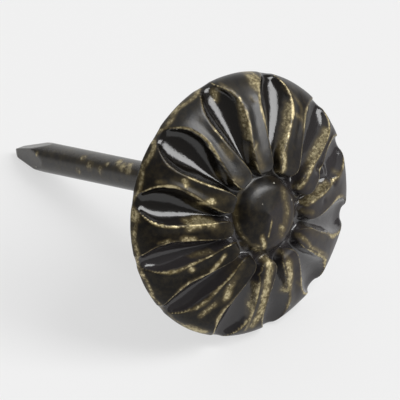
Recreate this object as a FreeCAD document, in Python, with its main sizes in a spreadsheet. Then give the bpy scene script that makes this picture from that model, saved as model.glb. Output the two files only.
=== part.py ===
"""Upholstery tack with a flower head, lying as it comes to rest on a flat surface.

The head is one cap pressed from sheet: a low crown that turns down at a shoulder, a round button in the middle
with a narrow ring valley about it, and twelve flutes that leave twelve raised petals between them. The flutes
and the valley are pressed through, so the inside of the cap shows them as ribs. The nail is a round wire with
a flat head of its own, which seats on the flat underside of the ring valley, and a point of four flats. The
wire stands a little off centre and leans, as it does on the real tack.

Both pieces are drawn upright: the crown up, the rim in the plane z = 0, the point down. Then they are laid
down together, on two neighbouring lobes of the rim and the point, with the crown facing +X.
"""

import FreeCAD
import Part
import Sketcher
import math
import os

SIZES = {
    # crown, as the outer skin of the cap, with heights above the rim
    "head_diameter": 11.0,
    "crown_height": 2.08,
    "shoulder_radius": 1.15,
    "lip_height": 0.05,
    "wall": 0.4,
    # button and the ring valley about it, with depths below the top of the crown
    "button_sink": 0.08,
    "button_dome": 5.0,
    "button_draft": 35.0,
    "valley_radius": 1.58,
    "valley_width": 0.2,
    "valley_sink": 0.62,
    # flutes: a round bed that widens from the ring valley to just outside the rim, and sloping flanks above it
    "flute_count": 12,
    "root_width": 0.12,
    "root_sink": 0.48,
    "mouth_width": 2.0,
    "mouth_floor": 0.08,
    "run_out": 0.5,
    "flank_draft": 15.0,
    "petal_tip_radius": 0.36,
    # lobes of the rim, parted by a shallow scallop at the mouth of each flute
    "scallop_radius": 2.5,
    "scallop_depth": 0.15,
    # nail, with its lean and its turns in degrees
    "nail_length": 16.0,
    "shank_diameter": 1.3,
    "nail_head_diameter": 3.3,
    "nail_head_thickness": 0.45,
    "nail_head_bevel": 0.12,
    "neck_radius": 0.95,
    "neck_length": 0.45,
    "seat_film": 0.02,
    "shank_offset": 0.35,
    "shank_lean": 3.3,
    "shank_turn": 142.4,
    "point_length": 2.9,
    "point_width": 0.28,
    "point_turn": 30.0,
}
FACETS = 4
FLANK_START = 0.9

doc = FreeCAD.newDocument("upholstery_tack")
sheet = doc.addObject("Spreadsheet::Sheet", "sizes")
for row, (alias, value) in enumerate(SIZES.items(), start=1):
    sheet.set(f"A{row}", alias)
    sheet.set(f"B{row}", str(value))
    sheet.setAlias(f"B{row}", alias)
doc.recompute()


def size(alias):
    return float(sheet.get(alias))


def origin_part(body, role):
    return next(part for part in body.Origin.OriginFeatures if part.Role == role)


def new_sketch(body, name, plane):
    sketch = body.newObject("Sketcher::SketchObject", name)
    sketch.AttachmentSupport = [(origin_part(body, plane), "")]
    sketch.MapMode = "FlatFace"
    return sketch


def point(x, y):
    return FreeCAD.Vector(x, y, 0)


def line(sketch, start, end, construction=False):
    return sketch.addGeometry(Part.LineSegment(point(*start), point(*end)), construction)


def arc(sketch, centre, radius, from_degrees, to_degrees):
    circle = Part.Circle(point(*centre), FreeCAD.Vector(0, 0, 1), radius)
    span = (math.radians(from_degrees), math.radians(to_degrees))
    return sketch.addGeometry(Part.ArcOfCircle(circle, *span), False)


def ring(sketch, centre, radius):
    return sketch.addGeometry(Part.Circle(point(*centre), FreeCAD.Vector(0, 0, 1), radius), False)


def constrain(sketch, *rows):
    for row in rows:
        sketch.addConstraint(Sketcher.Constraint(*row))


def bind(sketch, kind, *where, value, formula):
    """Adds a dimension that follows the sheet. The value is where the drawing starts from."""
    index = sketch.addConstraint(Sketcher.Constraint(kind, *where, value))
    sketch.setExpression(f"Constraints[{index}]", formula)


# Numbers that sketch constraints use for the two axes, the points of a curve and the origin
ACROSS, UP = (-index for index in (1, 2))
START, END, CENTRE = range(1, 4)
ORIGIN = (ACROSS, START)


def revolve(body, kind, name, sketch, axis):
    feature = body.newObject(f"PartDesign::{kind}", name)
    feature.Profile = sketch
    feature.ReferenceAxis = (sketch, [axis])
    feature.Angle = 360
    body.Tip = feature
    return feature


def repeat_round(body, name, features, count):
    pattern = body.newObject("PartDesign::PolarPattern", name)
    pattern.Originals = features
    pattern.Axis = (origin_part(body, "Z_Axis"), [""])
    pattern.Angle = 360
    pattern.setExpression("Occurrences", count)
    body.Tip = pattern
    return pattern


def on_arc(radius, across):
    """Height above an arc's centre, at a distance across from it."""
    return math.sqrt(radius**2 - across**2)


def brow_of_button(corner, lean, dome, dome_centre):
    """Where the button's side, which leans in from the valley's corner, meets the dome of its top."""
    step = FreeCAD.Vector(-math.sin(lean), math.cos(lean), 0)
    start = point(corner[0], corner[1] - dome_centre)
    half_b = start.dot(step)
    along = -half_b + math.sqrt(half_b**2 - start.dot(start) + dome**2)
    return (corner[0] + along * step.x, corner[1] + along * step.y)


def cap_section(body, skin, depth):
    """Half section of the cap before its flutes: button, ring valley, low crown, shoulder and a short lip."""
    radius = size("head_diameter") / 2 - depth
    crown = size("crown_height")
    shoulder = size("shoulder_radius")
    lip = size("lip_height")
    rise = crown - lip
    reach = size("head_diameter") / 2 - shoulder
    arch = (reach**2 + rise**2 - shoulder**2) / (2 * (rise - shoulder))
    slope = math.degrees(math.atan2(lip + arch - crown, reach))
    lean = math.radians(size("button_draft"))
    button_top = crown - size("button_sink") - depth
    dome = size("button_dome") - depth
    valley = crown - size("valley_sink") - depth
    corner = size("valley_radius") - size("valley_width") / 2 - depth * math.tan((math.pi / 2 - lean) / 2)
    wall_foot = size("valley_radius") + size("valley_width") / 2 + depth
    wall_top = crown - arch + on_arc(arch - depth, wall_foot)
    brow = brow_of_button((corner, valley), lean, dome, button_top - dome)
    brow_angle = math.degrees(math.atan2(brow[1] - button_top + dome, brow[0]))
    wall_angle = math.degrees(math.atan2(wall_top - crown + arch, wall_foot))

    sketch = new_sketch(body, "cap_section", "XZ_Plane")
    middle = line(sketch, (0, -depth), (0, button_top))
    top = arc(sketch, (0, button_top - dome), dome, brow_angle, 90)
    button_side = line(sketch, brow, (corner, valley))
    valley_floor = line(sketch, (corner, valley), (wall_foot, valley))
    petal_end = line(sketch, (wall_foot, valley), (wall_foot, wall_top))
    low = arc(sketch, (0, crown - arch), arch - depth, slope, wall_angle)
    turn = arc(sketch, (reach, lip), shoulder - depth, 0, slope)
    side = line(sketch, (radius, lip), (radius, -depth))
    floor = line(sketch, (radius, -depth), (0, -depth))
    constrain(
        sketch,
        ("PointOnObject", middle, START, UP),
        ("PointOnObject", middle, END, UP),
        ("PointOnObject", top, CENTRE, UP),
        ("Coincident", top, END, middle, END),
        ("Coincident", top, START, button_side, START),
        ("Coincident", button_side, END, valley_floor, START),
        ("Coincident", valley_floor, END, petal_end, START),
        ("Coincident", petal_end, END, low, END),
        ("PointOnObject", low, CENTRE, UP),
        ("Tangent", low, START, turn, END),
        ("Tangent", turn, START, side, START),
        ("Coincident", side, END, floor, START),
        ("Coincident", floor, END, middle, START),
        ("Horizontal", valley_floor),
        ("Vertical", petal_end),
        ("Vertical", side),
        ("Horizontal", floor),
    )
    rows = (
        ("DistanceX", (*ORIGIN, side, START), radius, f"sizes.head_diameter / 2 - {skin}"),
        ("DistanceY", (*ORIGIN, middle, END), button_top, f"sizes.crown_height - sizes.button_sink - {skin}"),
        ("Radius", (top,), dome, f"sizes.button_dome - {skin}"),
        ("DistanceY", (*ORIGIN, valley_floor, START), valley, f"sizes.crown_height - sizes.valley_sink - {skin}"),
        ("DistanceX", (*ORIGIN, valley_floor, START), corner,
         "sizes.valley_radius - sizes.valley_width / 2"
         f" - {skin} * tan((90 deg - sizes.button_draft * 1 deg) / 2)"),
        ("DistanceX", (*ORIGIN, petal_end, START), wall_foot,
         f"sizes.valley_radius + sizes.valley_width / 2 + {skin}"),
        ("Angle", (button_side,), lean - math.pi / 2, "sizes.button_draft * 1 deg - 90 deg"),
        ("DistanceY", (*ORIGIN, turn, CENTRE), lip, "sizes.lip_height"),
        ("DistanceX", (*ORIGIN, turn, CENTRE), reach, "sizes.head_diameter / 2 - sizes.shoulder_radius"),
        ("Radius", (low,), arch - depth,
         "((sizes.head_diameter / 2 - sizes.shoulder_radius)^2"
         " + (sizes.crown_height - sizes.lip_height)^2 - sizes.shoulder_radius^2)"
         f" / (2 * (sizes.crown_height - sizes.lip_height - sizes.shoulder_radius)) - {skin}"),
    )
    for kind, where, value, formula in rows:
        bind(sketch, kind, *where, value=value, formula=formula)
    if depth:
        bind(sketch, "DistanceY", floor, START, *ORIGIN, value=depth, formula=skin)
    else:
        constrain(sketch, ("PointOnObject", floor, START, ACROSS))
    return sketch


def flute_ends(skin, depth):
    """The two ends of a flute: distance from the axis, half width of the bed and height of its floor.

    Each is a number and the formula that it follows."""
    root = (
        (size("valley_radius"), "sizes.valley_radius"),
        (size("root_width") / 2 + depth, f"(sizes.root_width / 2 + {skin})"),
        (size("crown_height") - size("root_sink") - depth, f"(sizes.crown_height - sizes.root_sink - {skin})"),
    )
    mouth = (
        (size("head_diameter") / 2 + size("run_out"), "sizes.head_diameter / 2 + sizes.run_out"),
        (size("mouth_width") / 2 + depth, f"(sizes.mouth_width / 2 + {skin})"),
        (size("mouth_floor") - depth, f"(sizes.mouth_floor - {skin})"),
    )
    return root, mouth


def flute_bed(body, ends):
    """Upright strip between the bed's floor and its axis. Turned about that axis, it cuts a tapered round bed."""
    sketch = new_sketch(body, "flute_bed", "XZ_Plane")
    floors = [(out[0], floor[0]) for out, _, floor in ends]
    centres = [(out[0], floor[0] + half[0]) for out, half, floor in ends]
    spine = line(sketch, centres[0], centres[1], construction=True)
    upper = line(sketch, centres[0], centres[1])
    outer = line(sketch, centres[1], floors[1])
    lower = line(sketch, floors[1], floors[0])
    inner = line(sketch, floors[0], centres[0])
    constrain(
        sketch,
        ("Coincident", upper, END, outer, START),
        ("Coincident", outer, END, lower, START),
        ("Coincident", lower, END, inner, START),
        ("Coincident", inner, END, upper, START),
        ("Coincident", spine, START, upper, START),
        ("Coincident", spine, END, upper, END),
        ("Vertical", outer),
        ("Vertical", inner),
    )
    for (out, half, floor), foot, head in zip(ends, ((inner, START), (outer, END)), ((inner, END), (outer, START))):
        bind(sketch, "DistanceX", *ORIGIN, *foot, value=out[0], formula=out[1])
        bind(sketch, "DistanceY", *ORIGIN, *head, value=floor[0] + half[0], formula=f"{floor[1]} + {half[1]}")
        bind(sketch, "DistanceY", *foot, *head, value=half[0], formula=half[1])
    groove = revolve(body, "Groove", "flute_bed_cut", sketch, "Axis0")
    return groove


def flank_station(body, name, end):
    """Section of the space between a flute's flanks, from the height of the bed's axis to above the crown."""
    out, half, floor = end
    centre = floor[0] + half[0]
    top = size("crown_height") + size("wall")
    start = FLANK_START * half[0]
    spread = start + (top - centre) * math.tan(math.radians(size("flank_draft")))
    sketch = new_sketch(body, name, "YZ_Plane")
    sketch.setExpression("AttachmentOffset.Base.z", out[1])
    base = line(sketch, (-start, centre), (start, centre))
    right = line(sketch, (start, centre), (spread, top))
    lid = line(sketch, (spread, top), (-spread, top))
    left = line(sketch, (-spread, top), (-start, centre))
    constrain(
        sketch,
        ("Coincident", base, END, right, START),
        ("Coincident", right, END, lid, START),
        ("Coincident", lid, END, left, START),
        ("Coincident", left, END, base, START),
        ("Symmetric", base, START, base, END, UP),
        ("Symmetric", lid, START, lid, END, UP),
    )
    centre_formula = f"{floor[1]} + {half[1]}"
    top_formula = "sizes.crown_height + sizes.wall"
    bind(sketch, "DistanceX", base, START, base, END, value=2 * start, formula=f"{2 * FLANK_START} * {half[1]}")
    bind(sketch, "DistanceY", *ORIGIN, base, START, value=centre, formula=centre_formula)
    bind(sketch, "DistanceY", *ORIGIN, lid, START, value=top, formula=top_formula)
    bind(
        sketch, "DistanceX", lid, END, lid, START, value=2 * spread,
        formula=f"{2 * FLANK_START} * {half[1]}"
        f" + 2 * ({top_formula} - ({centre_formula})) * tan(sizes.flank_draft * 1 deg)",
    )
    return sketch


def flute_flanks(body, ends):
    root, mouth = (flank_station(body, f"flank_{name}", end) for name, end in zip(("root", "mouth"), ends))
    flanks = body.newObject("PartDesign::SubtractiveLoft", "flute_flanks")
    flanks.Profile = root
    flanks.Sections = [mouth]
    flanks.Ruled = True
    body.Tip = flanks
    return flanks


def scallop_cut(body, skin, depth):
    """Takes the scallop at a flute's mouth with a round cutter that stands outside the rim."""
    reach = size("head_diameter") / 2 + size("scallop_radius") - size("scallop_depth")
    radius = size("scallop_radius") + depth
    sketch = new_sketch(body, "scallop_outline", "XY_Plane")
    cutter = ring(sketch, (reach, 0), radius)
    constrain(sketch, ("PointOnObject", cutter, CENTRE, ACROSS))
    bind(
        sketch, "DistanceX", *ORIGIN, cutter, CENTRE, value=reach,
        formula="sizes.head_diameter / 2 + sizes.scallop_radius - sizes.scallop_depth",
    )
    bind(sketch, "Radius", cutter, value=radius, formula=f"sizes.scallop_radius + {skin}")
    return pocket_through(body, "scallop", sketch)


def petal_tips(body):
    """Rounds the petals' inner ends in plan: clears the fan between two neighbouring ones, down to the valley."""
    half_turn = math.pi / size("flute_count")
    radius = size("petal_tip_radius")
    reach = size("valley_radius") + size("valley_width") / 2 + radius
    out = FreeCAD.Vector(math.cos(half_turn), math.sin(half_turn), 0)
    aside = FreeCAD.Vector(math.sin(half_turn), -math.cos(half_turn), 0)
    middle, tip, flank = out * reach, out * (reach - radius), out * reach + aside * radius
    degrees = math.degrees(half_turn)
    sketch = new_sketch(body, "fan_outline", "XY_Plane")
    sketch.setExpression("AttachmentOffset.Base.z", "sizes.crown_height")
    spoke = line(sketch, (0, 0), (middle.x, middle.y), construction=True)
    square = line(sketch, (middle.x, middle.y), (flank.x, flank.y), construction=True)
    left = arc(sketch, (middle.x, middle.y), radius, 180 + degrees, 270 + degrees)
    right = arc(sketch, (middle.x, -middle.y), radius, 90 - degrees, 180 - degrees)
    outer = line(sketch, (flank.x, flank.y), (flank.x, -flank.y))
    inner = line(sketch, (tip.x, -tip.y), (tip.x, tip.y))
    constrain(
        sketch,
        ("Coincident", spoke, START, *ORIGIN),
        ("Coincident", spoke, END, left, CENTRE),
        ("Coincident", square, START, left, CENTRE),
        ("Coincident", square, END, left, END),
        ("Perpendicular", spoke, square),
        ("PointOnObject", left, START, spoke),
        ("Coincident", left, END, outer, START),
        ("Coincident", outer, END, right, START),
        ("Coincident", right, END, inner, START),
        ("Coincident", inner, END, left, START),
        ("Symmetric", left, CENTRE, right, CENTRE, ACROSS),
        ("Symmetric", outer, START, outer, END, ACROSS),
        ("Vertical", inner),
    )
    bind(sketch, "Radius", left, value=radius, formula="sizes.petal_tip_radius")
    bind(
        sketch, "Distance", spoke, value=reach,
        formula="sizes.valley_radius + sizes.valley_width / 2 + sizes.petal_tip_radius",
    )
    bind(sketch, "Angle", spoke, value=half_turn, formula="180 deg / sizes.flute_count")
    pocket = body.newObject("PartDesign::Pocket", "fan")
    pocket.Profile = sketch
    pocket.setExpression("Length", "sizes.valley_sink")
    body.Tip = pocket
    return pocket


def pocket_through(body, name, sketch):
    pocket = body.newObject("PartDesign::Pocket", name)
    pocket.Profile = sketch
    pocket.Type = 1
    pocket.Midplane = True
    body.Tip = pocket
    return pocket


def cap_form(name, skin, depth):
    """The cap's outer form or, with a skin, the hollow inside it, which is that form one wall smaller."""
    body = doc.addObject("PartDesign::Body", name)
    revolve(body, "Revolution", "crown", cap_section(body, skin, depth), "V_Axis")
    ends = flute_ends(skin, depth)
    flute = [flute_bed(body, ends), flute_flanks(body, ends)]
    if not depth:
        flute.append(petal_tips(body))
    repeat_round(body, "flutes", flute, "sizes.flute_count")
    scallop = scallop_cut(body, skin, depth)
    repeat_round(body, "scallops", [scallop], "sizes.flute_count")
    doc.recompute()
    return body


def flower_head():
    """The pressed cap: the outer form with the hollow taken out of it."""
    outside = cap_form("cap_outside", "0", 0)
    hollow = cap_form("cap_hollow", "sizes.wall", size("wall"))
    cap = doc.addObject("Part::Cut", "flower_head")
    cap.Base = outside
    cap.Tool = hollow
    return cap


def disc_outline(body, name, diameter_name):
    sketch = new_sketch(body, name, "XY_Plane")
    circle = ring(sketch, (0, 0), size(diameter_name) / 2)
    constrain(sketch, ("Coincident", circle, CENTRE, *ORIGIN))
    bind(sketch, "Radius", circle, value=size(diameter_name) / 2, formula=f"sizes.{diameter_name} / 2")
    return sketch


def turned_about_up(degrees):
    """A sketch's attachment turned about its own upright, which runs along the body's Y or Z."""
    return FreeCAD.Placement(FreeCAD.Vector(), FreeCAD.Rotation(FreeCAD.Vector(0, 1, 0), degrees))


def pad_down(body, name, sketch, length):
    pad = body.newObject("PartDesign::Pad", name)
    pad.Profile = sketch
    pad.Reversed = True
    pad.setExpression("Length", length)
    body.Tip = pad
    return pad


def facet_section(body):
    """Wedge outside one flat of the point, in a plane that holds the wire's axis."""
    tip = size("nail_length")
    nose = size("point_width") / 2
    reach = size("shank_diameter")
    slope = math.atan2(size("point_length"), size("shank_diameter") / 2 - nose)
    corner = (reach, math.tan(slope) * (reach - nose) - tip)
    sketch = new_sketch(body, "facet_section", "XZ_Plane")
    sketch.AttachmentOffset = turned_about_up(size("point_turn"))
    sketch.setExpression("AttachmentOffset.Rotation.Angle", "sizes.point_turn")
    flat = line(sketch, (nose, -tip), corner)
    side = line(sketch, corner, (reach, -tip))
    end = line(sketch, (reach, -tip), (nose, -tip))
    constrain(
        sketch,
        ("Coincident", flat, END, side, START),
        ("Coincident", side, END, end, START),
        ("Coincident", end, END, flat, START),
        ("Vertical", side),
        ("Horizontal", end),
    )
    bind(sketch, "DistanceX", *ORIGIN, flat, START, value=nose, formula="sizes.point_width / 2")
    bind(sketch, "DistanceY", flat, START, *ORIGIN, value=tip, formula="sizes.nail_length")
    bind(sketch, "DistanceX", *ORIGIN, side, START, value=reach, formula="sizes.shank_diameter")
    bind(
        sketch, "Angle", flat, value=slope,
        formula="atan(sizes.point_length / (sizes.shank_diameter / 2 - sizes.point_width / 2))",
    )
    return sketch


def neck_section(body):
    """Half section of the cone that carries the nail's head on its wire."""
    under = size("nail_head_thickness") / 2
    wide, slim = size("neck_radius"), size("shank_diameter") / 2
    end = under + size("neck_length")
    sketch = new_sketch(body, "neck_section", "XZ_Plane")
    middle = line(sketch, (0, -end), (0, -under))
    top = line(sketch, (0, -under), (wide, -under))
    slope = line(sketch, (wide, -under), (slim, -end))
    base = line(sketch, (slim, -end), (0, -end))
    constrain(
        sketch,
        ("Coincident", middle, END, top, START),
        ("Coincident", top, END, slope, START),
        ("Coincident", slope, END, base, START),
        ("Coincident", base, END, middle, START),
        ("PointOnObject", middle, START, UP),
        ("Vertical", middle),
        ("Horizontal", top),
        ("Horizontal", base),
    )
    bind(sketch, "DistanceY", top, START, *ORIGIN, value=under, formula="sizes.nail_head_thickness / 2")
    bind(sketch, "DistanceX", top, START, top, END, value=wide, formula="sizes.neck_radius")
    bind(sketch, "DistanceX", base, END, base, START, value=slim, formula="sizes.shank_diameter / 2")
    bind(sketch, "DistanceY", middle, START, middle, END, value=end - under, formula="sizes.neck_length")
    return sketch


def nail():
    """The nail along its own axis, which runs down from the middle of its head. The head sits askew on it."""
    body = doc.addObject("PartDesign::Body", "nail")
    disc = disc_outline(body, "head_outline", "nail_head_diameter")
    disc.AttachmentOffset = turned_about_up(-size("shank_lean"))
    disc.setExpression("AttachmentOffset.Rotation.Angle", "-sizes.shank_lean")
    head = pad_down(body, "nail_head", disc, "sizes.nail_head_thickness")
    doc.recompute()
    bevel = body.newObject("PartDesign::Chamfer", "head_bevels")
    bevel.Base = (head, [f"Edge{n}" for n, edge in enumerate(head.Shape.Edges, start=1) if edge.Closed])
    bevel.setExpression("Size", "sizes.nail_head_bevel")
    body.Tip = bevel
    wire = disc_outline(body, "shank_outline", "shank_diameter")
    wire.setExpression("AttachmentOffset.Base.z", "-sizes.nail_head_thickness / 2")
    pad_down(body, "shank", wire, "sizes.nail_length - sizes.nail_head_thickness / 2")
    revolve(body, "Revolution", "neck", neck_section(body), "V_Axis")
    facet = pocket_through(body, "facet", facet_section(body))
    repeat_round(body, "point", [facet], str(FACETS))
    doc.recompute()
    return body


def seat_of_nail():
    """Where the nail's head sits in the upright cap: one wall and a film under the valley's floor."""
    turn = math.radians(size("shank_turn"))
    height = size("crown_height") - size("valley_sink") - size("wall") - size("seat_film")
    spot = FreeCAD.Vector(math.cos(turn), math.sin(turn), 0) * size("shank_offset")
    turned = FreeCAD.Rotation(FreeCAD.Vector(0, 0, 1), size("shank_turn"))
    leaned = FreeCAD.Rotation(FreeCAD.Vector(0, 1, 0), size("shank_lean"))
    return FreeCAD.Placement(spot + FreeCAD.Vector(0, 0, height), turned * leaned)


def rim_contact():
    """How far below the cap's axis its rim touches: at the two corners of the lowest scallop."""
    rim = size("head_diameter") / 2
    cutter = size("scallop_radius")
    reach = rim + cutter - size("scallop_depth")
    return (rim**2 + reach**2 - cutter**2) / (2 * reach)


def rest_turn(nail_shape):
    """Turn about Y that lays the upright tack on its rim and on the lowest corner of its point."""
    point_corners = [corner for corner in nail_shape.Vertexes if corner.Z < 0]
    pitch = min(math.atan2(rim_contact() - corner.X, -corner.Z) for corner in point_corners)
    return FreeCAD.Rotation(FreeCAD.Vector(0, 1, 0), 90 - math.degrees(pitch))


def lay_down(cap, pin):
    """Lays both pieces down together, with the middle of their outline at the origin and the lowest at z = 0."""
    seat = seat_of_nail()
    pin.Placement = seat
    doc.recompute()
    turn = FreeCAD.Placement(FreeCAD.Vector(), rest_turn(pin.Shape))
    cap.Placement = turn
    pin.Placement = turn * seat
    doc.recompute()
    box = cap.Shape.optimalBoundingBox(False)
    box.add(pin.Shape.optimalBoundingBox(False))
    shift = FreeCAD.Placement(FreeCAD.Vector(-box.Center.x, -box.Center.y, -box.ZMin), FreeCAD.Rotation())
    cap.Placement = shift * turn
    pin.Placement = shift * turn * seat
    doc.recompute()


def write_parts(parts):
    for item in doc.Objects:
        if "Invalid" in item.State or "Error" in item.State:
            raise RuntimeError(f"{item.Label} did not recompute: {item.State}")
    for item in parts:
        if item.Shape.isNull() or not item.Shape.isValid():
            raise RuntimeError(f"{item.Label} has no sound shape")
    os.makedirs("parts", exist_ok=True)
    for item in parts:
        item.Shape.exportStep(f"parts/{item.Label}.step")
        print(item.Label, "volume", round(item.Shape.Volume, 2), "solids", len(item.Shape.Solids))


cap = flower_head()
pin = nail()
lay_down(cap, pin)
write_parts([cap, pin])
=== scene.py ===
import bpy
import math
import numpy as np
from mathutils import Matrix, Vector


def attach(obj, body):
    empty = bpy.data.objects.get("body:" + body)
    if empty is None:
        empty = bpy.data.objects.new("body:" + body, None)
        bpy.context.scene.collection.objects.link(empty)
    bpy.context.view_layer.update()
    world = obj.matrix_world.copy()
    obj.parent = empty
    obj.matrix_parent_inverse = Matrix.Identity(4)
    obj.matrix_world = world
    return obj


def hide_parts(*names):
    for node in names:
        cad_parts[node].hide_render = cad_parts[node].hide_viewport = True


# The looks of an upholstery tack: a pressed flower head and the nail under it, both lacquered near black over
# antique brass. Sizes are in millimetres until a mesh takes its place at rest.

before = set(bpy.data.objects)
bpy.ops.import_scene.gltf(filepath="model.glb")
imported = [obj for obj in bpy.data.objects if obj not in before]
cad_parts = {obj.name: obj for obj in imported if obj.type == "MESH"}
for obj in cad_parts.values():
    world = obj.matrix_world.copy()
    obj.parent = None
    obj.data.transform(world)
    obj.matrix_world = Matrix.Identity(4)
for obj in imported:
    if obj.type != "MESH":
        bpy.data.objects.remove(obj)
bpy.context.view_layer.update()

MM = 0.001
FLUTES = 12

# Where the head lies: the middle of its rim, and how far its face looks up from level
RIM_MIDDLE = Vector((5.773, 0.0, 5.187))
FACE_RISE = math.radians(17.975)

# How the nail stands in the upright head
NAIL_SEAT = 1.04
NAIL_OFFSET = 0.35
NAIL_TURN = math.radians(142.4)
NAIL_LEAN = math.radians(3.3)

# The nail's own sizes
NAIL_LENGTH = 16.0
WIRE_RADIUS = 0.65
POINT_LENGTH = 2.6
NOSE_RADIUS = 0.16
NOSE_LENGTH = 0.35
POINT_TURN = math.radians(30.0)
NAIL_HEAD_RADIUS = 1.65
NAIL_HEAD_THICKNESS = 0.45
NECK_START = 0.225
NECK_LENGTH = 0.45
NECK_RADIUS = 0.95

# The head's section at the middle of a petal and along the bed of a flute, as control points of two smooth
# curves that run from the middle of the button out to the rim and back under the wall. Each row gives a
# place on the petal, the place on the flute's bed that goes with it, and there the flute's half width from
# its middle to a ridge, the dish of the petal between its ridges and how much the ridges are rubbed.
HEAD_ROWS = (
    # button
    ((0.0, 2.0), (0.0, 2.0), 0.02, 0.0, 0.0),
    ((0.35, 2.0), (0.35, 2.0), 0.02, 0.0, 0.0),
    ((0.75, 1.98), (0.75, 1.98), 0.02, 0.0, 0.0),
    ((1.10, 1.94), (1.10, 1.94), 0.02, 0.0, 0.0),
    ((1.32, 1.86), (1.32, 1.86), 0.02, 0.0, 0.0),
    ((1.46, 1.70), (1.46, 1.70), 0.02, 0.0, 0.0),
    ((1.56, 1.56), (1.56, 1.56), 0.5, 0.0, 0.0),
    # ring valley and the petals' inner ends
    ((1.62, 1.50), (1.62, 1.49), 0.48, 0.0, 0.0),
    ((1.68, 1.52), (1.70, 1.46), 0.47, 0.0, 0.1),
    ((1.75, 1.64), (1.78, 1.44), 0.42, 0.0, 0.3),
    ((1.84, 1.79), (1.87, 1.42), 0.30, 0.0, 0.5),
    ((1.97, 1.90), (1.99, 1.38), 0.21, 0.0, 0.7),
    ((2.16, 1.93), (2.17, 1.40), 0.17, 0.0, 0.8),
    # petals and flutes
    ((2.45, 1.89), (2.48, 1.36), 0.20, 0.01, 0.9),
    ((2.80, 1.82), (2.85, 1.24), 0.31, 0.03, 1.0),
    ((3.20, 1.725), (3.24, 1.10), 0.45, 0.05, 1.0),
    ((3.60, 1.61), (3.62, 0.96), 0.59, 0.06, 1.0),
    ((4.00, 1.48), (4.00, 0.82), 0.72, 0.06, 1.0),
    ((4.35, 1.345), (4.35, 0.68), 0.81, 0.06, 1.0),
    ((4.68, 1.18), (4.66, 0.55), 0.83, 0.05, 1.0),
    ((4.95, 1.01), (4.92, 0.43), 0.79, 0.04, 1.0),
    # shoulder
    ((5.17, 0.83), (5.13, 0.36), 0.68, 0.03, 1.0),
    ((5.33, 0.64), (5.28, 0.33), 0.52, 0.02, 1.0),
    ((5.43, 0.45), (5.38, 0.29), 0.40, 0.01, 1.0),
    ((5.49, 0.27), (5.45, 0.21), 0.36, 0.0, 0.9),
    ((5.50, 0.13), (5.47, 0.11), 0.36, 0.0, 0.7),
    # rim
    ((5.50, 0.04), (5.47, 0.035), 0.36, 0.0, 0.8),
    ((5.46, 0.0), (5.43, 0.0), 0.36, 0.0, 0.6),
    ((5.24, 0.0), (5.20, 0.0), 0.40, 0.0, 0.3),
    ((5.12, 0.02), (5.06, 0.0), 0.50, 0.0, 0.1),
    # underside
    ((5.08, 0.22), (4.95, 0.02), 0.60, 0.0, 0.0),
    ((4.95, 0.50), (4.70, 0.06), 0.80, 0.0, 0.0),
    ((4.65, 0.80), (4.35, 0.20), 0.92, 0.0, 0.0),
    ((4.10, 1.06), (3.85, 0.40), 0.85, 0.0, 0.0),
    ((3.40, 1.27), (3.25, 0.62), 0.68, 0.0, 0.0),
    ((2.70, 1.42), (2.60, 0.84), 0.52, 0.0, 0.0),
    ((2.25, 1.44), (2.20, 1.00), 0.46, 0.0, 0.0),
    ((2.00, 1.12), (2.00, 0.98), 0.48, 0.0, 0.0),
    ((1.70, 0.94), (1.70, 0.94), 0.50, 0.0, 0.0),
    ((1.30, 0.94), (1.30, 0.94), 0.50, 0.0, 0.0),
    ((1.08, 1.08), (1.08, 1.08), 0.50, 0.0, 0.0),
    ((0.95, 1.48), (0.95, 1.48), 0.50, 0.0, 0.0),
    ((0.60, 1.58), (0.60, 1.58), 0.50, 0.0, 0.0),
    ((0.0, 1.59), (0.0, 1.59), 0.50, 0.0, 0.0),
)

# How each flute strays from its even place, as it does in a hand-cut die: its turn near the rim in
# degrees, its width there as a share of the drawn width, and its turn near the button. The first flute
# points down as the tack lies.
FLUTE_STRAY = (
    (-1.5, 0.80, -1.7),
    (-2.5, 0.90, -2.0),
    (2.0, 0.90, -1.6),
    (4.5, 0.90, -3.7),
    (-2.5, 1.00, -2.4),
    (0.0, 1.00, 5.2),
    (4.0, 1.00, 5.8),
    (4.5, 1.05, 6.7),
    (4.0, 0.95, 6.6),
    (1.0, 0.72, 2.2),
    (-2.5, 0.65, -1.6),
    (1.0, 0.85, -0.7),
)

# From a flute's middle to its ridges near the rim, in degrees, and the distances from the head's middle
# between which the turn near the button gives way to the one near the rim
RIDGE_TURN = 9.9
STRAY_FROM = 2.2
STRAY_TO = 4.4

# The middle of the pattern sits a little off the rim's middle, and a little proud. This starts inside the
# first distance from the middle and is full at the second.
OFF_MIDDLE = (0.23, 0.10, 0.12)
SHIFT_FROM = 5.0
SHIFT_FULL = 1.8

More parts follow.
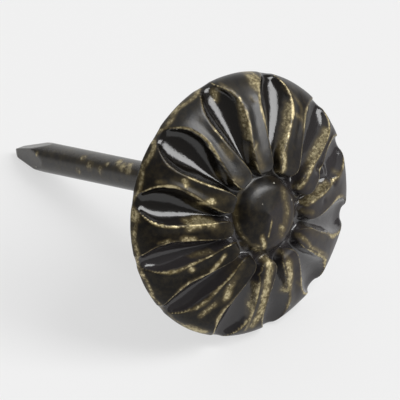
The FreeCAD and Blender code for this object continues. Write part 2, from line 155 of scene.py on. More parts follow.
# Where handling has rubbed the head's lacquer through: how wide in millimetres, how bare from 0 to 1, and
# the stroke as places given by turn in degrees and distance from the head's middle
HEAD_RUBS = (
    # petals, in order round the head
    (0.16, 0.6, ((11, 2.05), (11, 2.2))),
    (0.23, 0.95, ((10.5, 2.5), (10, 3.2), (7, 3.9))),
    (0.14, 0.5, ((14.5, 3.8), (17, 4.2))),
    (0.15, 0.7, ((39, 2.15), (37, 3.05), (40, 4.65))),
    (0.34, 0.35, ((49, 2.4), (48.5, 3.7))),
    (0.14, 0.8, ((75.5, 2.1), (80, 2.9), (83.5, 3.7))),
    (0.20, 0.5, ((67, 2.0), (65.5, 2.4))),
    (0.19, 0.6, ((85.5, 4.4), (84, 4.6))),
    (0.16, 0.85, ((99, 1.9), (107.5, 3.2), (108, 4.8))),
    (0.18, 0.85, ((136.5, 1.8), (143, 2.65), (140, 3.75), (139.5, 4.55))),
    (0.16, 0.6, ((135, 4.2), (131, 4.2))),
    (0.16, 0.5, ((142, 5.1), (133, 4.7), (127, 3.7))),
    (0.14, 0.7, ((172, 2.95), (174, 2.8))),
    (0.34, 0.5, ((175.5, 2.7), (172.5, 2.0))),
    (0.12, 0.85, ((173, 4.8), (174, 3.9), (175.5, 3.2))),
    (0.14, 0.6, ((177, 5.35), (174, 4.95))),
    (0.16, 0.5, ((166, 4.65), (164, 4.5))),
    (0.30, 0.6, ((197.5, 3.55), (198, 3.15))),
    (0.27, 0.5, ((212.5, 2.7), (206.5, 2.05))),
    (0.16, 1.0, ((229, 4.15), (231.5, 4.0))),
    (0.14, 0.5, ((233.5, 5.05), (232.5, 4.85))),
    (0.19, 1.0, ((238.5, 3.15), (236.5, 2.8))),
    (0.38, 0.35, ((230.5, 4.45), (235, 3.35), (233, 2.35))),
    (0.27, 1.0, ((255.5, 3.6), (254, 3.0), (256, 2.7))),
    (0.18, 0.9, ((263, 3.95), (265, 3.55))),
    (0.11, 0.7, ((262.5, 4.85), (262, 4.5))),
    (0.38, 0.35, ((261.5, 2.6), (266, 1.9))),
    (0.14, 1.0, ((282.5, 4.0), (284, 3.95))),
    (0.12, 0.9, ((288.5, 2.6), (292.5, 3.35))),
    (0.11, 0.6, ((277.5, 3.65), (280, 2.9))),
    (0.23, 0.9, ((313.5, 3.25), (316.5, 3.8))),
    (0.38, 0.4, ((310, 2.4), (315, 3.95))),
    (0.18, 0.85, ((313, 4.25), (311, 4.85))),
    (0.27, 0.9, ((348, 2.05), (346, 3.15), (347.5, 4.2), (345.5, 5.0))),
    (0.14, 0.8, ((338, 3.0), (339.5, 3.95), (342.5, 5.15))),
    # rim
    (0.38, 1.0, ((160, 5.35), (160, 5.1))),
    (0.19, 0.8, ((180.5, 5.2), (182, 4.9))),
    (0.19, 1.0, ((312, 5.48), (322, 5.44))),
    (0.19, 0.4, ((284, 5.44), (287.5, 5.38))),
    (0.11, 0.8, ((249, 5.48), (252.5, 5.47))),
    (0.05, 0.8, tuple((turn, 5.5) for turn in range(185, 291, 15))),
    (0.05, 0.6, tuple((turn, 5.5) for turn in range(290, 336, 15))),
    # button
    (0.27, 0.6, ((117, 1.15), (68, 1.0), (18, 1.2))),
    (0.19, 0.8, ((28, 0.95), (28.5, 1.15))),
    (0.06, 0.9, ((20, 0.3), (344.5, 1.0))),
    (0.14, 0.9, ((325.5, 1.0), (340, 1.45))),
    (0.16, 0.5, ((301.5, 1.6), (311.5, 1.6))),
    (0.14, 0.7, ((323, 1.5), (333.5, 1.6))),
    (0.11, 0.55, ((190, 1.46), (210, 1.45), (236, 1.43), (262, 1.40), (285, 1.42), (310, 1.45), (340, 1.46))),
    (0.07, 0.4, ((20, 1.46), (45, 1.45), (70, 1.44), (95, 1.45))),
)

# Dents and lumps in the head: turn in degrees, distance from its middle, width and rise in millimetres
HEAD_DENTS = (
    (98.5, 3.25, 0.20, -0.22),
    (90.0, 3.75, 0.28, 0.22),
    (83.0, 4.05, 0.18, -0.20),
    (338.0, 2.60, 0.12, -0.14),
    (164.5, 4.56, 0.10, -0.05),
    (172.0, 4.38, 0.09, -0.04),
    (74.0, 3.20, 0.12, -0.05),
    (37.0, 2.07, 0.12, -0.10),
)

# Rubs on the wire: depth down the nail, turn round it in degrees, width in millimetres, and how bare
NAIL_RUBS = (
    (8.4, 54, 0.26, 1.05),
    (8.0, 72, 0.30, 1.05),
    (7.65, 58, 0.24, 0.95),
    (7.55, 83, 0.24, 0.9),
    (10.7, 68, 0.22, 0.95),
    (13.8, 90, 0.16, 1.0),
    (10.1, 94, 0.32, 0.8),
    (10.9, 122, 0.24, 0.85),
    (9.4, 101, 0.28, 0.8),
    (9.05, 73, 0.18, 0.9),
    (11.9, 44, 0.3, 0.4),
)

# Three curves across a flute, against the way out from its middle to just past its ridge: how high the wall
# stands from bed to petal, how much it is rubbed, and what counts as the petal's top
PAST_RIDGE = 1.25
FLUTE_WALL = (
    (0, 0), (0.2, 0.04), (0.4, 0.16), (0.56, 0.35), (0.68, 0.58), (0.76, 0.82), (0.81, 0.97), (1, 1),
)
RIDGE_RUB = ((0, 0), (0.72, 0), (0.78, 0.5), (0.82, 1.0), (0.87, 0.85), (0.93, 0.3), (1, 0.08))
PETAL_TOP = ((0, 0), (0.74, 0), (0.84, 1), (1, 1))

# Points across one flute and its half petals, the smoothness of a drawn section, and sides of the wire
POINTS_ACROSS = 37
CURVE_STEPS = 4
WIRE_SIDES = 64

# Small waves left by hand finishing, in millimetres
WAVINESS = 0.05
WAVES_TO_A_MILLIMETRE = 0.8

# Neighbouring sectors are joined where their points are this close, in millimetres
JOIN_WITHIN = 0.0001

# Within this distance from the middle all is button, and worn as a petal's top is
BUTTON_RADIUS = 1.5

# Skin of the head that faces further down than this, from -1 to 1, is its underside and has no dents or rubs
UNDERSIDE_BELOW = -0.1

# The side of the head that kept its gloss, and how far from it the petals are dulled by handling, in degrees
GLOSSY_TURN = 180
DULL_PAST = (15, 70)

# The side where a grey is painted on the lacquer as a painted reflection of the pale paper, and how far from
# it that is gone and is full, in degrees. The flutes get this painted reflection too from one turn on, fully
# from the next, by this share.
PAINTED_REFLECTION_TURN = 50
PAINTED_REFLECTION_FADES = (100, 35)
PAINTED_REFLECTION_FLUTES = (245, 262)
FLUTE_PAINTED_REFLECTION = 0.9

# The room is dim, so the lacquer mirrors dark where it faces away from the soft boxes
ROOM = 0.18

# Soft boxes, this many metres away: azimuth and elevation seen from the tack, how wide and how tall each
# looks, all in degrees, and how bright it is against white paper
BOX_DISTANCE = 0.8
SOFT_BOXES = (
    ("side_box", 35, 46, 26, 46, 7.8),
    ("back_box", 165, 68, 90, 80, 0.35),
    ("back_wall", 140, 12, 90, 24, 0.9),
)

# The paper that the tack lies on: its colour under the lamps, the paleness it shows of its own, the share of
# that, and its half width in metres
PAPER = "#F4F4F4"
PAPER_SEEN = "#F0F0F0"
OWN_PALENESS = 0.7
FLOOR_HALF = 1.5

# Colours and surfaces of the finish, and how deep its unevenness is drawn, in millimetres
LACQUER = "#120F0C"
# a grey painted on one side of the head and in some flutes, as a painted reflection of the pale paper
PAINTED_REFLECTION_GREY = "#302D2E"
THIN_LACQUER = "#62563A"
AGED_BRASS = "#7F7149"
BARE_BRASS = "#CDC09A"
NAIL_LACQUER = "#2E2B27"
DUST = "#A8A498"
BRASS_SHINE = 0.75
BRASS_ROUGHNESS = 0.48
RELIEF = 0.04

# Patterns of the finish, in repeats to a metre: patches of about 1.2 mm, mottling of 0.4 mm, grain of 0.12
# mm, which is coarser than the real grain, and specks of dust 0.8 mm apart
PATCH_SCALE = 800.0
MOTTLE_SCALE = 2600.0
GRAIN_SCALE = 8000.0
DUST_SCALE = 1300.0

# The photograph's view, in degrees and millimetres: down onto the head from one side, with a long lens
VIEW_AZIMUTH = -40.208
VIEW_ELEVATION = 37.612
VIEW_ROLL = -1.0
VIEW_AIM = (4.733, -1.067, 5.324)
VIEW_DISTANCE = 204.4
SENSOR_WIDTH = 36.0
LENS = 450.0


def linear(hex_colour):
    """Turns a hex sRGB colour into the linear values that sockets take."""
    channels = [int(hex_colour[i : i + 2], 16) / 255 for i in (1, 3, 5)]
    values = [c / 12.92 if c <= 0.04045 else ((c + 0.055) / 1.055) ** 2.4 for c in channels]
    return (*values, 1.0)


def add(tree, kind, inputs=None, **settings):
    """Adds a node with its settings. Its inputs are values, sockets, or nodes whose first output is meant."""
    node = tree.nodes.new(kind)
    for name, value in settings.items():
        setattr(node, name, value)
    for key, value in (inputs or {}).items():
        if isinstance(value, bpy.types.Node):
            value = value.outputs[0]
        if isinstance(value, bpy.types.NodeSocket):
            tree.links.new(value, node.inputs[key])
        else:
            node.inputs[key].default_value = value
    return node


def draw_float_curve(node, points):
    """Gives a Float Curve node its points, from 0 to 1 both ways."""
    curve = node.mapping.curves[0]
    curve.points[0].location = points[0]
    curve.points[-1].location = points[-1]
    for x, y in points[1:-1]:
        curve.points.new(x, y)
    node.mapping.update()
    return node


def head_matrix():
    """From the upright head, in millimetres, to its place at rest, in metres."""
    turn = Matrix.Rotation(math.pi / 2 - FACE_RISE, 4, "Y")
    return Matrix.Scale(MM, 4) @ Matrix.Translation(RIM_MIDDLE) @ turn


def nail_matrix():
    """From the nail's own frame, with its axis running down, to its place at rest, in metres."""
    offset = Vector((math.cos(NAIL_TURN), math.sin(NAIL_TURN), 0)) * NAIL_OFFSET
    seat = Matrix.Translation(offset + Vector((0, 0, NAIL_SEAT)))
    return head_matrix() @ seat @ Matrix.Rotation(NAIL_TURN, 4, "Z") @ Matrix.Rotation(NAIL_LEAN, 4, "Y")


def show(name, data):
    """Puts an object with its mesh, curve, lamp or camera into the scene."""
    piece = bpy.data.objects.new(name, data)
    bpy.context.scene.collection.objects.link(piece)
    return piece


def drawn_curve(name, points):
    """A smooth open curve on its control points, for the head's tree to read."""
    curve = bpy.data.curves.new(name, "CURVE")
    curve.dimensions = "3D"
    curve.resolution_u = CURVE_STEPS
    spline = curve.splines.new("NURBS")
    spline.points.add(len(points) - 1)
    for place, target in zip(points, spline.points):
        target.co = (*place, 1)
    spline.order_u = 4
    spline.use_endpoint_u = True
    return show(name, curve)


def pressed_flower_tree():
    """A sector of the cap with a flute down its middle, shaped from the drawn sections and repeated."""
    tree = bpy.data.node_groups.new("pressed_flower", "GeometryNodeTree")
    for name, kind in (
        ("Petal section", "NodeSocketObject"),
        ("Flute section", "NodeSocketObject"),
        ("Widths", "NodeSocketObject"),
        ("Flutes", "NodeSocketInt"),
        ("Points across", "NodeSocketInt"),
        ("Waviness", "NodeSocketFloat"),
        ("Material", "NodeSocketMaterial"),
    ):
        tree.interface.new_socket(name, in_out="INPUT", socket_type=kind)
    tree.interface.new_socket("Geometry", in_out="OUTPUT", socket_type="NodeSocketGeometry")
    given = add(tree, "NodeGroupInput").outputs
    maths = "ShaderNodeMath"

    # a grid with one row of points for each point of the drawn sections
    rows = {}
    for name in ("Petal section", "Flute section", "Widths"):
        drawn = add(tree, "GeometryNodeObjectInfo", {"Object": given[name]})
        rows[name] = add(
            tree, "GeometryNodeCurveToPoints", {"Curve": drawn.outputs["Geometry"]}, mode="EVALUATED",
        )
    count = add(
        tree, "GeometryNodeAttributeDomainSize", {"Geometry": rows["Petal section"]}, component="POINTCLOUD",
    )
    grid = add(
        tree, "GeometryNodeMeshGrid",
        {"Size X": 1.0, "Size Y": 1.0, "Vertices X": count, "Vertices Y": given["Points across"]},
    )
    index = add(tree, "GeometryNodeInputIndex")
    row = add(
        tree, "FunctionNodeIntegerMath", {0: index, 1: given["Points across"]}, operation="DIVIDE_FLOOR",
    )
    place = add(tree, "GeometryNodeInputPosition")
    drawn = {}
    for name, points in rows.items():
        sample = add(
            tree, "GeometryNodeSampleIndex", {"Geometry": points, "Value": place, "Index": row},
            data_type="FLOAT_VECTOR",
        )
        drawn[name] = add(tree, "ShaderNodeSeparateXYZ", {0: sample}).outputs
    petal, bed, widths = drawn["Petal section"], drawn["Flute section"], drawn["Widths"]

    # the turn from the flute's middle, and the way across from there in millimetres
    across = add(tree, "ShaderNodeSeparateXYZ", {0: place}).outputs["Y"]
    sector = add(tree, maths, {0: 2 * math.pi, 1: given["Flutes"]}, operation="DIVIDE")
    turn = add(tree, maths, {0: across, 1: sector}, operation="MULTIPLY")
    unsigned = add(tree, maths, {0: turn}, operation="ABSOLUTE")
    away = add(tree, maths, {0: unsigned, 1: petal["X"]}, operation="MULTIPLY")

    # the flute's wall, then the dish of the petal past its ridge
    reach = add(tree, maths, {0: widths["X"], 1: PAST_RIDGE}, operation="MULTIPLY")
    share = add(tree, maths, {0: away, 1: reach}, operation="DIVIDE", use_clamp=True)
    wall = draw_float_curve(add(tree, "ShaderNodeFloatCurve", {"Value": share}), FLUTE_WALL)
    sector_width = add(tree, maths, {0: sector, 1: petal["X"]}, operation="MULTIPLY")
    half = add(tree, maths, {0: sector_width, 1: 0.5}, operation="MULTIPLY")
    inward = add(
        tree, "ShaderNodeMapRange",
        {"Value": away, "From Min": widths["X"], "From Max": half, "To Min": 0.0, "To Max": 1.0},
        interpolation_type="SMOOTHSTEP",
    )
    dish = add(tree, maths, {0: inward, 1: widths["Y"]}, operation="MULTIPLY")
    out = add(tree, "ShaderNodeMix", {"Factor": wall, "A": bed["X"], "B": petal["X"]})
    height = add(tree, "ShaderNodeMix", {"Factor": wall, "A": bed["Z"], "B": petal["Z"]})
    sunk = add(tree, maths, {0: height, 1: dish}, operation="SUBTRACT")
    turned = []
    for operation in ("COSINE", "SINE"):
        part = add(tree, maths, {0: turn}, operation=operation)
        turned.append(add(tree, maths, {0: part, 1: out}, operation="MULTIPLY"))
    shaped = add(tree, "ShaderNodeCombineXYZ", {"X": turned[0], "Y": turned[1], "Z": sunk})

    # what the finish needs to know, noted before the points move: how rubbed a ridge is, and a petal's top
    rubbed = draw_float_curve(add(tree, "ShaderNodeFloatCurve", {"Value": share}), RIDGE_RUB)
    top = draw_float_curve(add(tree, "ShaderNodeFloatCurve", {"Value": share}), PETAL_TOP)
    ridge = add(tree, maths, {0: rubbed, 1: widths["Z"]}, operation="MULTIPLY")
    marked = grid
    for name, value in (("ridge", ridge), ("top", top)):
        marked = add(
            tree, "GeometryNodeStoreNamedAttribute", {"Geometry": marked, "Name": name, "Value": value},
            data_type="FLOAT", domain="POINT",
        )
    sector_skin = add(tree, "GeometryNodeSetPosition", {"Geometry": marked, "Position": shaped})

    # the same skin for every flute, closed into one, with the small waves of hand-finished dies
    spots = add(tree, "GeometryNodePoints", {"Count": given["Flutes"]})
    angle = add(tree, maths, {0: index, 1: sector}, operation="MULTIPLY")
    spun = add(tree, "FunctionNodeAxisAngleToRotation", {"Axis": (0, 0, 1), "Angle": angle})
    copies = add(
        tree, "GeometryNodeInstanceOnPoints", {"Points": spots, "Instance": sector_skin, "Rotation": spun},
    )
    whole = add(tree, "GeometryNodeRealizeInstances", {"Geometry": copies})
    closed = add(tree, "GeometryNodeMergeByDistance", {"Geometry": whole, "Distance": JOIN_WITHIN})
    waves = add(
        tree, "ShaderNodeTexNoise", {"Vector": place, "Scale": WAVES_TO_A_MILLIMETRE, "Detail": 2.0},
        noise_dimensions="3D",
    )
    centred = add(
        tree, "ShaderNodeVectorMath", {0: waves.outputs["Color"], 1: (0.5, 0.5, 0.5)}, operation="SUBTRACT",
    )
    shift = add(tree, "ShaderNodeVectorMath", {0: centred, "Scale": given["Waviness"]}, operation="SCALE")
    wavy = add(tree, "GeometryNodeSetPosition", {"Geometry": closed, "Offset": shift})
    smooth = add(tree, "GeometryNodeSetShadeSmooth", {"Geometry": wavy})
    finished = add(tree, "GeometryNodeSetMaterial", {"Geometry": smooth, "Material": given["Material"]})
    add(tree, "NodeGroupOutput", {"Geometry": finished})
    return tree


def made_by_tree(tree, values):
    """Runs a tree with its named inputs and returns the plain mesh that it makes."""
    carrier = show("carrier", bpy.data.meshes.new("carrier"))
    modifier = carrier.modifiers.new("tree", "NODES")
    modifier.node_group = tree
    for socket in tree.interface.items_tree:
        if socket.in_out == "INPUT":
            modifier[socket.identifier] = values[socket.name]
    seen = carrier.evaluated_get(bpy.context.evaluated_depsgraph_get())
    mesh = bpy.data.meshes.new_from_object(seen)
    bpy.data.objects.remove(carrier)
    return mesh


def flower_head_mesh(material):
    """The cap upright, in millimetres."""
    petal = drawn_curve("petal_section", [(r, 0, z) for (r, z), _, _, _, _ in HEAD_ROWS])
    bed = drawn_curve("flute_section", [(r, 0, z) for _, (r, z), _, _, _ in HEAD_ROWS])
    widths = drawn_curve("widths", [(half, dish, rub) for _, _, half, dish, rub in HEAD_ROWS])
    mesh = made_by_tree(
        pressed_flower_tree(),
        {
            "Petal section": petal, "Flute section": bed, "Widths": widths, "Flutes": FLUTES,
            "Points across": POINTS_ACROSS, "Waviness": WAVINESS, "Material": material,
        },
    )
    for drawing in (petal, bed, widths):
        bpy.data.objects.remove(drawing)
    return mesh


def smooth_share(values, start, end):
    """Goes smoothly from 0 at the start to 1 at the end."""
    share = np.clip((values - start) / (end - start), 0, 1)
    return share * share * (3 - 2 * share)


def points_of(mesh):
    points = np.empty(len(mesh.vertices) * 3)
    mesh.vertices.foreach_get("co", points)
    return points.reshape(-1, 3)


def let_stray(mesh):
    """Moves the flutes of the even head to where this one has them, and its middle with them."""
    points = points_of(mesh)
    radius = np.hypot(points[:, 0], points[:, 1])
    turn = np.degrees(np.arctan2(points[:, 1], points[:, 0])) % 360
    sector = 360 / FLUTES
    ridges, shifts = [], []
    for index, (outer, width, _) in enumerate(FLUTE_STRAY):
        for side in (-1, 1):
            ridges.append(index * sector + side * RIDGE_TURN)
            shifts.append(outer + side * RIDGE_TURN * (width - 1))
    near_rim = np.interp(turn, ridges, shifts, period=360)
    middles = [index * sector for index in range(FLUTES)]
    near_button = np.interp(turn, middles, [inner for _, _, inner in FLUTE_STRAY], period=360)
    share = smooth_share(radius, STRAY_FROM, STRAY_TO)
    turn = np.radians(turn + near_button * (1 - share) + near_rim * share)
    points[:, 0] = radius * np.cos(turn)
    points[:, 1] = radius * np.sin(turn)
    points += smooth_share(radius, SHIFT_FROM, SHIFT_FULL)[:, None] * OFF_MIDDLE
    mesh.vertices.foreach_set("co", points.ravel())


def store(mesh, name, values):
    mesh.attributes.new(name, "FLOAT", "POINT").data.foreach_set("value", values)


def on_head(turn, radius):
    """A place on the head, seen from above, from its turn in degrees and its distance from the middle."""
    return np.array((math.cos(math.radians(turn)), math.sin(math.radians(turn)))) * radius


def to_stroke(points, places):
    """How far points are from a line through places."""
    nearest = np.full(len(points), np.inf)
    for start, end in zip(places, places[1:]):
        way = end - start
        share = np.clip((points - start) @ way / (way @ way), 0, 1)
        nearest = np.minimum(nearest, np.linalg.norm(points - start - share[:, None] * way, axis=1))
    return nearest


def dent_and_rub(mesh):
    """Gives the outside of the head its dents, and notes how rubbed and dulled each point is, and where a
    grey reflection of the paper is painted.
    """
    normals = np.empty(len(mesh.vertices) * 3)
    mesh.vertex_normals.foreach_get("vector", normals)
    outside = normals[2::3] > UNDERSIDE_BELOW
    points = points_of(mesh)
    seen = points[:, :2]
    for turn, radius, width, rise in HEAD_DENTS:
        near = np.linalg.norm(seen - on_head(turn, radius), axis=1)
        points[:, 2] += rise * outside * np.exp(-((near / width) ** 2))
    rubbed = np.zeros(len(points))
    for width, bare, places in HEAD_RUBS:
        near = to_stroke(seen, [on_head(*place) for place in places])
        rubbed = np.maximum(rubbed, bare * np.exp(-((near / width) ** 2)))
    mesh.vertices.foreach_set("co", points.ravel())
    store(mesh, "rubbed", rubbed * outside)
    turned = np.degrees(np.arctan2(points[:, 1], points[:, 0])) % 360
    store(mesh, "dulled", smooth_share(np.abs(turned - GLOSSY_TURN), *DULL_PAST))
    tops = np.empty(len(points))
    mesh.attributes["top"].data.foreach_get("value", tops)
    tops = np.maximum(tops, np.hypot(*seen.T) < BUTTON_RADIUS)
    mesh.attributes["top"].data.foreach_set("value", tops)
    # painted reflection: grey painted full round one side and in the flutes from a given turn on, where the
    # glossy lacquer would mirror the pale paper
    from_painted_reflection = np.abs((turned - PAINTED_REFLECTION_TURN + 180) % 360 - 180)
    painted_reflection_in_flutes = FLUTE_PAINTED_REFLECTION * (1 - tops) * smooth_share(turned, *PAINTED_REFLECTION_FLUTES)
    store(mesh, "painted_reflection", np.maximum(smooth_share(from_painted_reflection, *PAINTED_REFLECTION_FADES), painted_reflection_in_flutes))


def ring_surface(rings):
    """Closes a stack of rings of points into one skin, with a middle point at each end."""
    sides = len(rings[0])
    points = [point for ring in rings for point in ring]
    faces = []
    for level in range(len(rings) - 1):
        for side in range(sides):
            near = level * sides + side
            beside = level * sides + (side + 1) % sides
            faces.append((near, beside, beside + sides, near + sides))
    for ring, start, turned in ((rings[0], 0, True), (rings[-1], len(points) - sides, False)):
        middle = len(points)
        points.append(sum(ring, Vector()) / sides)
        for side in range(sides):
            edge = (start + side, start + (side + 1) % sides)
            faces.append((*reversed(edge), middle) if turned else (*edge, middle))
    return points, faces


def wire_ring(depth, sides):
    """Section of the wire at a depth: a neck, then round, and flattened on four sides towards its end."""
    to_end = NAIL_LENGTH - depth
    flat = NOSE_RADIUS + (WIRE_RADIUS - NOSE_RADIUS) * to_end / POINT_LENGTH
    nose = min(to_end / NOSE_LENGTH, 1)
    flat *= math.sqrt(nose * (2 - nose))
    along_neck = min(max((depth - NECK_START) / NECK_LENGTH, 0), 1)
    full = NECK_RADIUS + (WIRE_RADIUS - NECK_RADIUS) * along_neck
    ring = []
    for side in range(sides):
        angle = -2 * math.pi * side / sides
        squareness = max(abs(math.cos(angle - POINT_TURN)), abs(math.sin(angle - POINT_TURN)))
        radius = min(full, flat / squareness)
        ring.append(Vector((radius * math.cos(angle), radius * math.sin(angle), -depth)))
    return ring


def nail_mesh(material):
    """The wire with its point, and its flat head, in the nail's own frame."""
    # rings down the wire, closer together on the point and closest on its nose
    steps, wire_step, point_step, before_point = 64, 0.2, 0.05, 0.3
    depths = [wire_step + wire_step * step for step in range(steps)]
    depths += [NAIL_LENGTH - POINT_LENGTH - before_point + point_step * step for step in range(steps)]
    depths += [NAIL_LENGTH - NOSE_LENGTH * share for share in (0.9, 0.7, 0.5, 0.3, 0.15, 0.05, 0.01)]
    nearly_end = NAIL_LENGTH - 0.001
    depths = sorted(set(depth for depth in depths if depth < nearly_end))
    points, faces = ring_surface([wire_ring(depth, WIRE_SIDES) for depth in depths])

    # its flat head, with broken edges, square to the cap and so askew to the wire
    start_depth, edge = 0.02, 0.12
    askew = Matrix.Rotation(-NAIL_LEAN, 3, "Y")
    turns = [2 * math.pi * side / WIRE_SIDES for side in range(WIRE_SIDES)]
    rings = []
    for depth, radius in (
        (start_depth, NAIL_HEAD_RADIUS - edge),
        (edge, NAIL_HEAD_RADIUS),
        (NAIL_HEAD_THICKNESS - edge, NAIL_HEAD_RADIUS),
        (NAIL_HEAD_THICKNESS, NAIL_HEAD_RADIUS - edge),
    ):
        rings.append([
            askew @ Vector((radius * math.cos(-turn), radius * math.sin(-turn), -depth)) for turn in turns
        ])
    disc_points, disc_faces = ring_surface(rings)
    start = len(points)
    points += disc_points
    faces += [tuple(start + index for index in face) for face in disc_faces]
    mesh = bpy.data.meshes.new("nail")
    mesh.from_pydata(points, [], faces)
    mesh.polygons.foreach_set("use_smooth", [True] * len(mesh.polygons))
    mesh.materials.append(material)
    mesh.update()

    # how rubbed each point of the wire is
    places = points_of(mesh)
    turns = np.degrees(np.arctan2(places[:, 1], places[:, 0]))
    rubbed = np.zeros(len(places))
    for depth, turn, width, bare in NAIL_RUBS:
        round_wire = np.radians((turns - turn + 180) % 360 - 180) * WIRE_RADIUS
        near = np.hypot(places[:, 2] + depth, round_wire)
        rubbed = np.maximum(rubbed, bare * np.exp(-((near / width) ** 2)))
    store(mesh, "rubbed", rubbed)
    store(mesh, "top", np.ones(len(places)))
    return mesh


def lacquered_brass(name, lacquer, cloud, gloss_in_flutes, gloss_on_petals):
    """Near-black lacquer over brass or brass plating: glossy, browner where thin, rubbed through to gold."""
    material = bpy.data.materials.new(name)
    material.use_nodes = True
    tree = material.node_tree
    tree.nodes.clear()
    maths, ranged = "ShaderNodeMath", "ShaderNodeMapRange"
    mixed, noise = "ShaderNodeMix", "ShaderNodeTexNoise"
    spot = add(tree, "ShaderNodeTexCoord").outputs["Object"]

    # what the mesh says of its wear, and where a grey reflection is painted; what a mesh doesn't say counts
    # as none
    rubbed, ridge, top, painted_reflection, dulled = (
        add(tree, "ShaderNodeAttribute", attribute_name=told).outputs["Fac"]
        for told in ("rubbed", "ridge", "top", "painted_reflection", "dulled")
    )

    clouds = add(tree, noise, {"Vector": spot, "Scale": PATCH_SCALE, "Detail": 3.0, "Roughness": 0.6})
    mottle = add(tree, noise, {"Vector": spot, "Scale": MOTTLE_SCALE, "Detail": 4.0, "Roughness": 0.7})
    grain = add(tree, noise, {"Vector": spot, "Scale": GRAIN_SCALE, "Detail": 3.0, "Roughness": 0.7})
    flecks = add(tree, maths, {0: mottle.outputs["Fac"], 1: grain.outputs["Fac"]}, operation="ADD")

    # the line along a ridge comes and goes with the patches
    kept = add(
        tree, ranged,
        {"Value": clouds.outputs["Fac"], "From Min": 0.36, "From Max": 0.6, "To Min": 0.5, "To Max": 1.2},
    )
    line = add(tree, maths, {0: ridge, 1: kept}, operation="MULTIPLY")
    most = add(tree, maths, {0: rubbed, 1: line}, operation="MAXIMUM")

    # a rub is broken up by the mottling and the grain
    breaks = add(
        tree, ranged, {"Value": flecks, "From Min": 0.7, "From Max": 1.3, "To Min": 0.5, "To Max": 1.35},
    )
    broken = add(tree, maths, {0: most, 1: breaks}, operation="MULTIPLY")
    bare = add(
        tree, ranged, {"Value": broken, "From Min": 0.48, "From Max": 1.0}, interpolation_type="SMOOTHSTEP",
    )

    # the lacquer is thin round a rub, and in patches on the petals
    thin_patches = add(
        tree, ranged, {"Value": mottle.outputs["Fac"], "From Min": 0.42, "From Max": 0.7, "To Max": cloud},
    )
    thin_on_petals = add(tree, maths, {0: thin_patches, 1: top}, operation="MULTIPLY")
    softly = add(tree, maths, {0: most, 1: mottle.outputs["Fac"]}, operation="MULTIPLY")
    thin_by_rub = add(
        tree, ranged, {"Value": softly, "From Min": 0.04, "From Max": 0.5}, interpolation_type="SMOOTHSTEP",
    )
    thin = add(tree, maths, {0: thin_by_rub, 1: thin_on_petals}, operation="MAXIMUM")

    # specks of dust, under a tenth of a millimetre wide
    cells = add(tree, "ShaderNodeTexVoronoi", {"Vector": spot, "Scale": DUST_SCALE})
    near = add(tree, maths, {0: cells.outputs["Distance"], 1: 0.05}, operation="LESS_THAN")
    few = add(tree, maths, {0: cells.outputs["Color"], 1: 0.72}, operation="GREATER_THAN")
    speck = add(tree, maths, {0: near, 1: few}, operation="MULTIPLY")

    # colours from the lacquer up: a painted reflection in grey on one side and in some flutes, its thin
    # places, the brass it shows, the dust on it
    aged = add(tree, ranged, {"Value": flecks, "From Min": 0.8, "From Max": 1.2})
    brass = add(
        tree, mixed, {"Factor": aged, 6: linear(AGED_BRASS), 7: linear(BARE_BRASS)}, data_type="RGBA",
    ).outputs[2]
    colour = linear(lacquer)
    reflection_grey, film, dust = linear(PAINTED_REFLECTION_GREY), linear(THIN_LACQUER), linear(DUST)
    for share, over in ((painted_reflection, reflection_grey), (thin, film), (bare, brass), (speck, dust)):
        colour = add(tree, mixed, {"Factor": share, 6: colour, 7: over}, data_type="RGBA").outputs[2]

    # the flutes stay glossy, petals lose their mirror where handled, and bare brass is dull
    metal = add(tree, maths, {0: bare, 1: BRASS_SHINE}, operation="MULTIPLY")
    worn_gloss = add(tree, ranged, {"Value": top, "To Min": gloss_in_flutes, "To Max": gloss_on_petals})
    rough = add(tree, mixed, {"Factor": bare, "A": worn_gloss, "B": BRASS_ROUGHNESS})
    petal_mirror = add(tree, ranged, {"Value": dulled, "To Min": 0.5, "To Max": 0.16})
    mirror = add(tree, ranged, {"Value": top, "To Min": 0.6, "To Max": petal_mirror})

    # the lacquer's own unevenness, and a step down where it is rubbed off
    low = add(tree, maths, {0: bare, 1: 0.6}, operation="MULTIPLY")
    relief = add(tree, maths, {0: mottle.outputs["Fac"], 1: low}, operation="SUBTRACT")
    bump = add(tree, "ShaderNodeBump", {"Height": relief, "Strength": 0.22, "Distance": RELIEF * MM})
    shader = add(
        tree, "ShaderNodeBsdfPrincipled",
        {
            "Base Color": colour, "Metallic": metal, "Roughness": rough, "IOR": 1.5,
            "Specular IOR Level": mirror, "Normal": bump,
        },
    )
    add(tree, "ShaderNodeOutputMaterial", {"Surface": shader})
    return material


def soft_box(name, azimuth, elevation, across, tall, brightness):
    """A soft box that faces the tack, as wide and as tall as the given angles seen from there."""
    up, along = math.radians(elevation), math.radians(azimuth)
    way = Vector((math.cos(up) * math.cos(along), math.cos(up) * math.sin(along), math.sin(up)))
    lamp = bpy.data.lights.new(name, "AREA")
    lamp.shape = "RECTANGLE"
    lamp.size = 2 * BOX_DISTANCE * math.tan(math.radians(across / 2))
    lamp.size_y = 2 * BOX_DISTANCE * math.tan(math.radians(tall / 2))
    lamp.energy = brightness * math.pi * lamp.size * lamp.size_y
    box = show(name, lamp)
    facing = way.to_track_quat("Z", "Y").to_matrix().to_4x4()
    box.matrix_world = Matrix.Translation(way * BOX_DISTANCE) @ facing


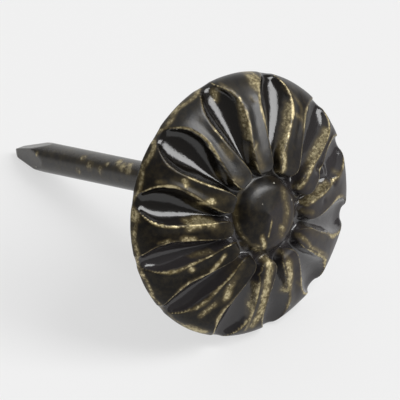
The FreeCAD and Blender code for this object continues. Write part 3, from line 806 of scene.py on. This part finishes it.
def pale_paper():
    """White paper, seen straight or mirrored with some paleness of its own, so that shadows stay light."""
    paper = bpy.data.materials.new("pale_paper")
    paper.use_nodes = True
    tree = paper.node_tree
    tree.nodes.clear()
    lit = add(tree, "ShaderNodeBsdfPrincipled", {"Base Color": linear(PAPER), "Roughness": 0.9})
    own = add(tree, "ShaderNodeEmission", {"Color": linear(PAPER_SEEN), "Strength": 1.0})
    path = add(tree, "ShaderNodeLightPath").outputs
    seen = path["Is Camera Ray"]
    for mirrored in (path["Is Glossy Ray"], path["Is Transmission Ray"]):
        seen = add(tree, "ShaderNodeMath", {0: seen, 1: mirrored}, operation="MAXIMUM")
    share = add(tree, "ShaderNodeMath", {0: seen, 1: OWN_PALENESS}, operation="MULTIPLY")
    mixed = add(tree, "ShaderNodeMixShader", {0: share, 1: lit, 2: own})
    add(tree, "ShaderNodeOutputMaterial", {"Surface": mixed})
    return paper


def floor_and_light():
    floor_mesh = bpy.data.meshes.new("floor")
    corners = [(FLOOR_HALF * x, FLOOR_HALF * y, 0) for x, y in ((-1, -1), (1, -1), (1, 1), (-1, 1))]
    floor_mesh.from_pydata(corners, [], [(0, 1, 2, 3)])
    floor = show("floor", floor_mesh)
    floor_mesh.materials.append(pale_paper())
    world = bpy.data.worlds.new("studio")
    bpy.context.scene.world = world
    world.use_nodes = True
    world.node_tree.nodes["Background"].inputs["Color"].default_value = (1, 1, 1, 1)
    world.node_tree.nodes["Background"].inputs["Strength"].default_value = ROOM
    for box in SOFT_BOXES:
        soft_box(*box)


def camera():
    turn = (
        Matrix.Rotation(math.radians(VIEW_AZIMUTH) + math.pi / 2, 4, "Z")
        @ Matrix.Rotation(math.pi / 2 - math.radians(VIEW_ELEVATION), 4, "X")
        @ Matrix.Rotation(math.radians(VIEW_ROLL), 4, "Z")
    )
    data = bpy.data.cameras.new("camera")
    data.sensor_width = SENSOR_WIDTH
    data.lens = LENS
    data.clip_start = 0.01
    data.clip_end = 10.0
    eye = show("camera", data)
    place = Vector(VIEW_AIM) + turn.to_3x3() @ Vector((0, 0, VIEW_DISTANCE))
    eye.matrix_world = Matrix.Translation(place * MM) @ turn
    bpy.context.scene.camera = eye


camera()
floor_and_light()
bpy.context.scene.view_settings.view_transform = "Standard"

head_finish = lacquered_brass(
    "lacquered_brass_head", LACQUER, cloud=0.16, gloss_in_flutes=0.14, gloss_on_petals=0.34,
)
head_mesh = flower_head_mesh(head_finish)
let_stray(head_mesh)
dent_and_rub(head_mesh)
head_mesh.transform(head_matrix())
flower = show("pressed_flower_head", head_mesh)
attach(flower, "root")
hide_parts("flower_head")

nail_finish = lacquered_brass(
    "lacquered_steel_nail", NAIL_LACQUER, cloud=0.3, gloss_in_flutes=0.3, gloss_on_petals=0.26,
)
wire_mesh = nail_mesh(nail_finish)
wire_mesh.transform(nail_matrix())
wire = show("wire_nail", wire_mesh)
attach(wire, "root")
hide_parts("nail")
